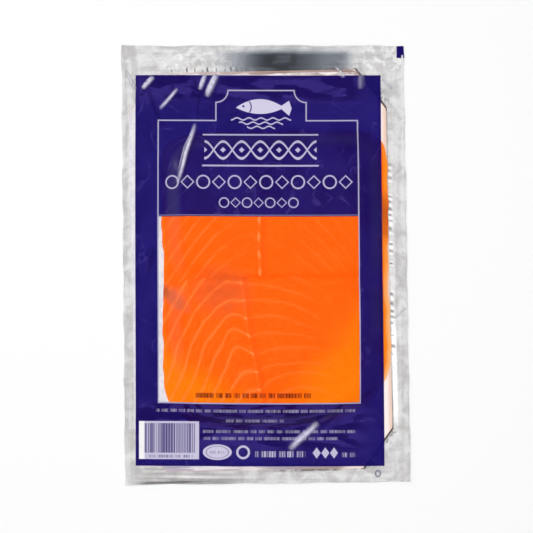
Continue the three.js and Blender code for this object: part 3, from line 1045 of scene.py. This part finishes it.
FRAME_BOX = (-53.8, -68.5, 45.5, 72.4)
HEAD_BOX = (-25, 60, 20, 87.5)
HOLLOW = 6  # radius of the hollows in the head's corners
FRAME_LINE = 0.65


def frame_lines(x, y):
    """The frame, with a raised head whose corners are hollowed, and a fainter line above the window."""
    left, bottom, right, top = HEAD_BOX
    hollows = [disc(x, y, corner, top, HOLLOW, HOLLOW) * -1 for corner in (left, right)]
    head = highest([box(x, y, *HEAD_BOX), *hollows])
    border = outline(box(x, y, *FRAME_BOX).least(head), FRAME_LINE)
    left, bottom, right, top = WINDOW_BOX
    over_window = outline(y - top - 0.6, 0.5) * inside(box(x, y, left, top, right, top + 2))
    return (border * 0.72).most(over_window * 0.3)


FISH_MIDDLE = (-3, 79.2)
FISH_HALF_HEIGHT = 3.7
EYE = (-11.3, 79.6, 0.55, 0.55)
GILL = (-14.6, 79.2, 7.2, 5.6)
WAVES = ((73.3, 15), (71.2, 11), (69.1, 7))  # level and half length of each


def fish_over_waves(x, y):
    """An emblem: a fish with a curved back and a forked tail, over three waves."""
    along, above = x - FISH_MIDDLE[0], y - FISH_MIDDLE[1]
    from_spine = abs(above - (along * along * -0.004 + 0.3))
    body = from_spine + along * along * 0.0255 - FISH_HALF_HEIGHT
    fork = along - 15.8 + from_spine * 0.35
    tail = highest([from_spine - (along - 9.5) * 0.75, 10.2 - along, fork])
    gill = outline(disc(x, y, *GILL), 0.45) * y.plateau(76.3, 76.8, 81.8, 82.3)
    light = inside(body.least(tail)) * (1 - inside(disc(x, y, *EYE))) * (1 - gill)
    for level, reach in WAVES:
        wave = outline(y - level - (x * 1.05 + level).math("SINE") * 0.55, 0.7)
        light = light.most(wave * inside(abs(x + 2.5) - reach) * 0.85)
    return light


CORD_MIDDLE = (-2.75, 57.4)
CORD_BOX = (-30.5, 49, 25, 66)
CORD_TWIST = 18.5  # length of one turn
CORD_SWING = 4.3
STRAND = 1.35
RULE_ENDS = (-31.5, 26)
RULE_LEVELS = (65.25, 49.5)
RULE_HALF = 0.4


def cord_between_rules(x, y):
    """Two rules, and between them a cord twisted of two strands with a pip in each of its eyes."""
    left, right = RULE_ENDS
    rules = [inside(box(x, y, left, level - RULE_HALF, right, level + RULE_HALF)) for level in RULE_LEVELS]
    along, above = x - CORD_MIDDLE[0], y - CORD_MIDDLE[1]
    swing = (along * (2 * math.pi / CORD_TWIST)).math("COSINE") * CORD_SWING
    strands = [outline(above - swing, STRAND), outline(above + swing, STRAND)]
    from_pip = abs(abs(along % (CORD_TWIST / 2) - CORD_TWIST / 4) - CORD_TWIST / 4)
    pip = inside(from_pip + abs(above) - 1.4)
    cord = highest([*strands, pip]) * inside(box(x, y, *CORD_BOX))
    return (highest(rules) * 0.8).most(cord * 0.88)


# Left and right end, level, half height, pitch and line width of each chain, and how light it is.
CHAINS = (
    ((-50.5, 43.1, 41.4, 3.1, 7.8, 0.75), 0.82),
    ((-23.5, 16.4, 31.2, 2.3, 5.7, 0.62), 0.78),
)


def chain(x, y, left, right, middle, half, pitch, width):
    """Rings and lozenges in turn."""
    step = (x - left) % (2 * pitch)
    from_ring = step - pitch / 2
    above = y - middle
    ring = (from_ring * from_ring + above * above).math("SQRT") - half
    lozenge = abs(step - 1.5 * pitch) + abs(above) - half
    ends = inside(box(x, y, left, middle - half - 1, right, middle + half + 1))
    return outline(ring.least(lozenge), width) * ends


ROW_TOPS = (-70, -75, -80, -84.6, -90)
GROUP = 4.3  # length of a group of dashes
SMALL_PRINT = (  # each row's box, and how light it is
    ((-55, -73.1, 43, -71.6), 0.6),
    ((-20, -78.1, 8.5, -76.6), 0.6),
    ((-31.5, -83.6, 43, -82.1), 0.6),
    ((-31.5, -87.1, 34.5, -85.6), 0.6),
    ((-5.5, -95.6, 19, -92.6), 0.9),
    ((36.5, -95.6, 43, -93.4), 0.8),
)


def dashes_in_rows(x, y):
    """Plain dashes that differ from row to row, in groups with gaps between them."""
    row = sum(y.math("LESS_THAN", top) for top in ROW_TOPS)
    dash = x / (row.ramp(4, 5) * 0.5 + 0.72) + row * 57
    group = x / GROUP + row * 7.37
    gap = (group % 1).ramp(0.2, 0.26).most(group.white().ramp(0.62, 0.64))
    return abs(dash % 1 - 0.5).ramp(0.5, 0.18) * (dash.white() * 0.6 + 0.4) * gap


BARS_BOX = (-60.8, -93.6, -35.6, -78.8)
BAR_PITCH = 1.3
BAR_GROUP = 3.3  # bars to a group of one darkness


def bars_on_panel(x, y):
    """Plain bars of many widths."""
    bar = (x - BARS_BOX[0]) / BAR_PITCH
    bars = (abs(bar % 1 - 0.5) - bar.white() * 0.42 - 0.18).ramp(0.1, -0.1)
    return bars * inside(box(x, y, *BARS_BOX)) * ((bar / BAR_GROUP).white() * 0.4 + 0.6)


# Painted highlight colour for the crests of creases in the ink.
CREST_HIGHLIGHT_INK = (0.78, 0.75, 0.92, 1)


def blue_ink(place, x, y, crest, fold_highlight_and_shade):
    """Dark blue ink. Above the fish and below it the film lies loose on the board but for patches where it
    is wet, with deeper ink. Elsewhere it has faint folds with painted pale highlights. Creases have painted
    shade beside them and painted pale highlights on their crests."""
    ink = place.noise(0.06, 3, 0.6).ramp(0.3, 0.7).tint(colour(20, 14, 102), colour(32, 26, 119))
    loose = y.ramp(79, 85).most(y.plateau(-98, -88, -70, -67.5)) * x.ramp(53, 42)
    wet = place.stretched(0.06, 0.19, 3).ramp(0.47, 0.53)
    ink = (loose * 0.8).tint(ink, colour(52, 40, 124))
    ink = (wet * loose * 0.9).tint(ink, colour(10, 0, 84))
    ink = (box(x, y, *FIELD_BOX).ramp(-2.4, -0.6) * 0.6).tint(ink, colour(12, 0, 92))
    faint = abs(place.noise(0.045, 2, 0.5, 1.2) - 0.5).ramp(0.02, 0.0) * (1 - loose)
    ink = (faint * place.noise(0.1, 1).ramp(0.4, 0.6) * 0.3).tint(ink, colour(84, 72, 150))
    ink = (fold_highlight_and_shade * 0.75).tint(ink, colour(12, 0, 80))
    crest_highlight = crest * (place.noise(0.7, 2).ramp(0.3, 0.6) * 0.3 + 0.7)
    return crest_highlight.tint(ink, CREST_HIGHLIGHT_INK)


# The film moved a little while it was printed, so the print is splayed and its lines waver.
printed_film, place = new_material("printed_film")
x, y, _ = parts(place)
x = x + x.most(0.0) * (y - FIELD_BOX[3]) * SPLAY + (y / 31 + 0.6).math("SINE") * 0.12
y = y + (x / 24 + 1.1).math("SINE") * 0.15
crest_here, fold_here = stored(place, "crest"), stored(place, "fold_highlight_and_shade")

UNDER_BARS_BOX = (-60, -96, -36.6, -94.6)
OVAL = (-24.4, -93.2, 7.2, 3.9)
OVAL_BOX = (-28.4, -94, -20.4, -92.6)
RING = (-11.5, -93.2, 2.9, 2.9)
LOZENGES = (24.4, 28.6, 32.8)
LOZENGE_LEVEL = -93.5
dashes = dashes_in_rows(x, y)
small_print = [inside(box(x, y, *row)) * lightness for row, lightness in SMALL_PRINT]
chains = [chain(x, y, *places) * lightness for places, lightness in CHAINS]
lozenges = [inside(abs(x - middle) * 1.45 + abs(y - LOZENGE_LEVEL) - 2.8) for middle in LOZENGES]
panel = inside(box(x, y, *CODE_BOX))
oval = disc(x, y, *OVAL)
light = highest([
    frame_lines(x, y),
    fish_over_waves(x, y),
    cord_between_rules(x, y),
    *chains,
    highest(small_print) * dashes,
    highest(lozenges) * 0.85,
    panel * 0.92,
    inside(oval) * 0.95,
    outline(disc(x, y, *RING), 1.1) * 0.9,
])
under_bars = inside(box(x, y, *UNDER_BARS_BOX)) * dashes * 0.8
dark = highest([
    bars_on_panel(x, y).most(under_bars) * panel,
    outline(oval + 0.9, 0.35) * 0.6,
    inside(box(x, y, *OVAL_BOX)) * dashes * 0.6,
])

# Besides the field the ink is in a mark at the top right corner, with a notch in its foot, in a small
# ring at the foot and in the line in the window.
CORNER_BOX = (65.25, 103.6, 69.2, 110.8)
NOTCH_BOX = (67.6, 103, 68.5, 105)
FOOT_RING = (54, -104, 1.2, 1.5)
FOOT_LINE_BOX = (-35, -65.7, 22.5, -63.2)
field = inside(box(x, y, *FIELD_BOX)) * (1 - inside(box(x, y, *WINDOW_BOX)))
corner_mark = inside(box(x, y, *CORNER_BOX)) * (1 - inside(box(x, y, *NOTCH_BOX)))
foot_ring = outline(disc(x, y, *FOOT_RING), 0.6) * 0.45
foot_line = inside(box(x, y, *FOOT_LINE_BOX)) * dashes * 0.95
printed = highest([field, corner_mark, foot_ring, foot_line])

base = light.tint(blue_ink(place, x, y, crest_here, fold_here), colour(214, 207, 233))
base = (panel * x.ramp(-60.2, -61.4)).tint(base, colour(252, 250, 252))
base = (dark * 0.95).tint(base, colour(64, 54, 122))
base = foot_line.ramp(0, 0.3).tint(base, colour(96, 28, 14))
# Over clear film a crease's crest is painted near white, as a highlight.
base = (crest_here * (1 - printed)).tint(base, colour(250, 248, 250))

# Where it is printed the film is ink that lets a little light through, and elsewhere clear gloss, but for
# crests, which are opaque with the painted highlight.
ripple = bumped(place, 0.12, 0.3, place.noise(0.5, 3, 0.6) * 0.8 + place.noise(2.6, 2, 0.5) * 0.2)
surface = {"Base Color": base, "Roughness": 0.13, "IOR": 1.6, "Normal": ripple}
solid_ink = place.node("ShaderNodeBsdfPrincipled", {}, surface)
thin_ink = place.node("ShaderNodeBsdfTransparent", {}, {"Color": (0.5, 0.28, 1, 1)})
inked = ((1 - light) * printed * 0.16).between(solid_ink, thin_ink)
facing = place.node("ShaderNodeLayerWeight", {}, {"Blend": 0.5, "Normal": ripple}, 1)
shine = facing.math("POWER", 5) * 0.96 + 0.04
see_through = place.node("ShaderNodeBsdfTransparent", {}, {"Color": (1, 1, 1, 1)})
gloss = place.node("ShaderNodeBsdfGlossy", {}, {"Color": (1, 1, 1, 1), "Roughness": 0.07, "Normal": ripple})
clear = shine.between(see_through, gloss)
cover(printed_film, printed.most(crest_here * 0.8).between(clear, inked))

film_inside, place = new_material("film_inside")
cover(film_inside, place.node("ShaderNodeBsdfTransparent", {}, {"Color": (0.99, 0.99, 0.99, 1)}))
films = [printed_film, film_inside]
painted_crest_and_fold_light = {"crest": crest, "fold_highlight_and_shade": fold_highlight_and_shade}
upper_web = shell("upper_web_film", web_x, web_y, film_low, film_high, films, painted_crest_and_fold_light, stride=2)
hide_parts("upper_web")
